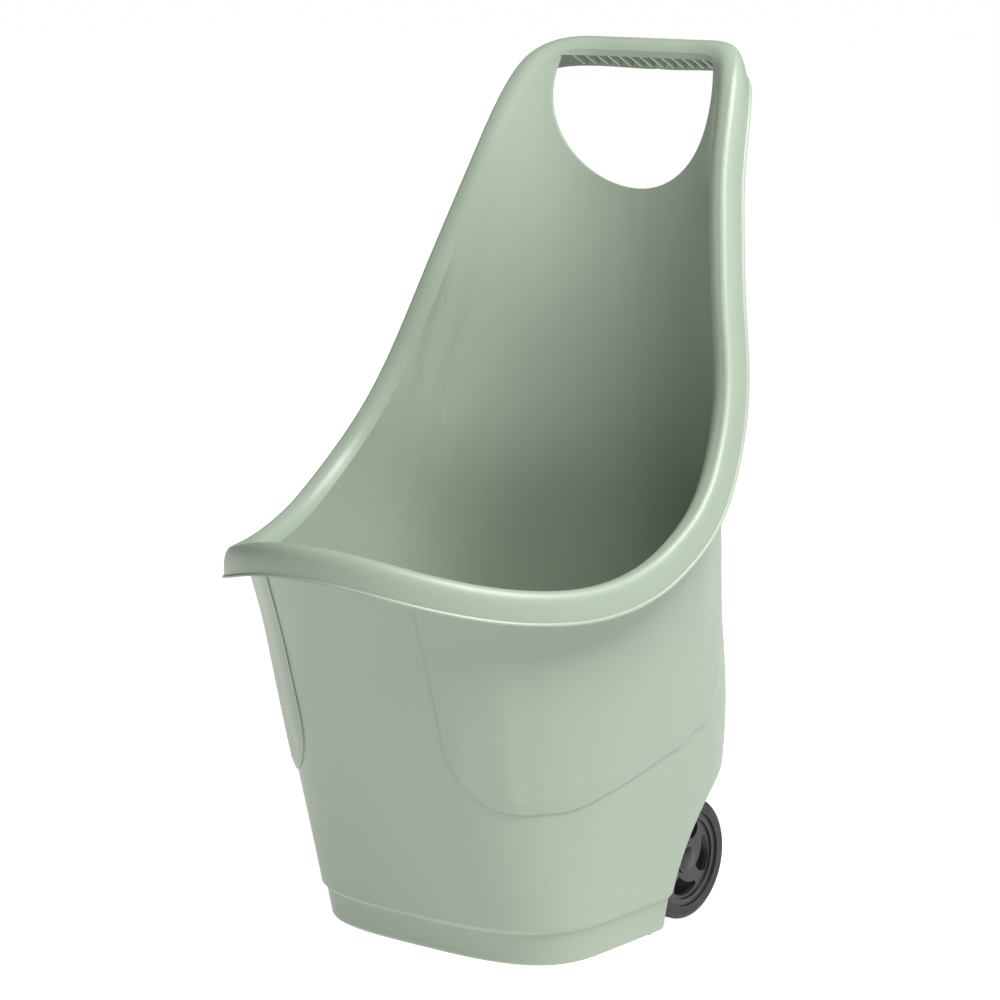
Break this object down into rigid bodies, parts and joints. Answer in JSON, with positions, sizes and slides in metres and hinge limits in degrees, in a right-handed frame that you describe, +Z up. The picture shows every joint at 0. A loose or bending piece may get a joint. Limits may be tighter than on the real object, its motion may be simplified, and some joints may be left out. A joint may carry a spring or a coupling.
{
  "type": "garden trolley",
  "caption": "Moulded garden tub with a low pouring lip, a high back ending in a ribbed grip over a hand hole, and wheels on an axle behind its foot.",
  "frame": {"origin": "middle of the box's underside, on the floor", "axes": "+X across to the right wheel, +Y back from the pouring lip to the grip, +Z up"},
  "size_m": [0.4722, 0.5478, 0.8455],
  "materials": {
    "tub_plastic": "satin moulded polypropylene, sage green",
    "steel": "zinc-plated steel",
    "wheel_plastic": "satin moulded polypropylene, black",
    "tyre_plastic": "fine-textured moulded plastic tread, black"
  },
  "bodies": {
    "tub": {"tub": "tub_plastic", "axle": "steel", "washer_left": "steel", "washer_right": "steel", "push_nut_left": "steel", "push_nut_right": "steel"},
    "wheel_left": {"wheel_rim_left": "wheel_plastic", "tyre_left": "tyre_plastic", "hub_cap_left": "wheel_plastic"},
    "wheel_right": {"wheel_rim_right": "wheel_plastic", "tyre_right": "tyre_plastic", "hub_cap_right": "wheel_plastic"}
  },
  "joints": [
    {"name": "wheel_left_spin", "type": "hinge", "parent": "tub", "child": "wheel_left", "pos_m": [-0.1295, 0.1281, 0.06], "axis": [1, 0, 0], "continuous": true},
    {"name": "wheel_right_spin", "type": "hinge", "parent": "tub", "child": "wheel_right", "pos_m": [0.1295, 0.1281, 0.06], "axis": [1, 0, 0], "continuous": true}
  ]
}
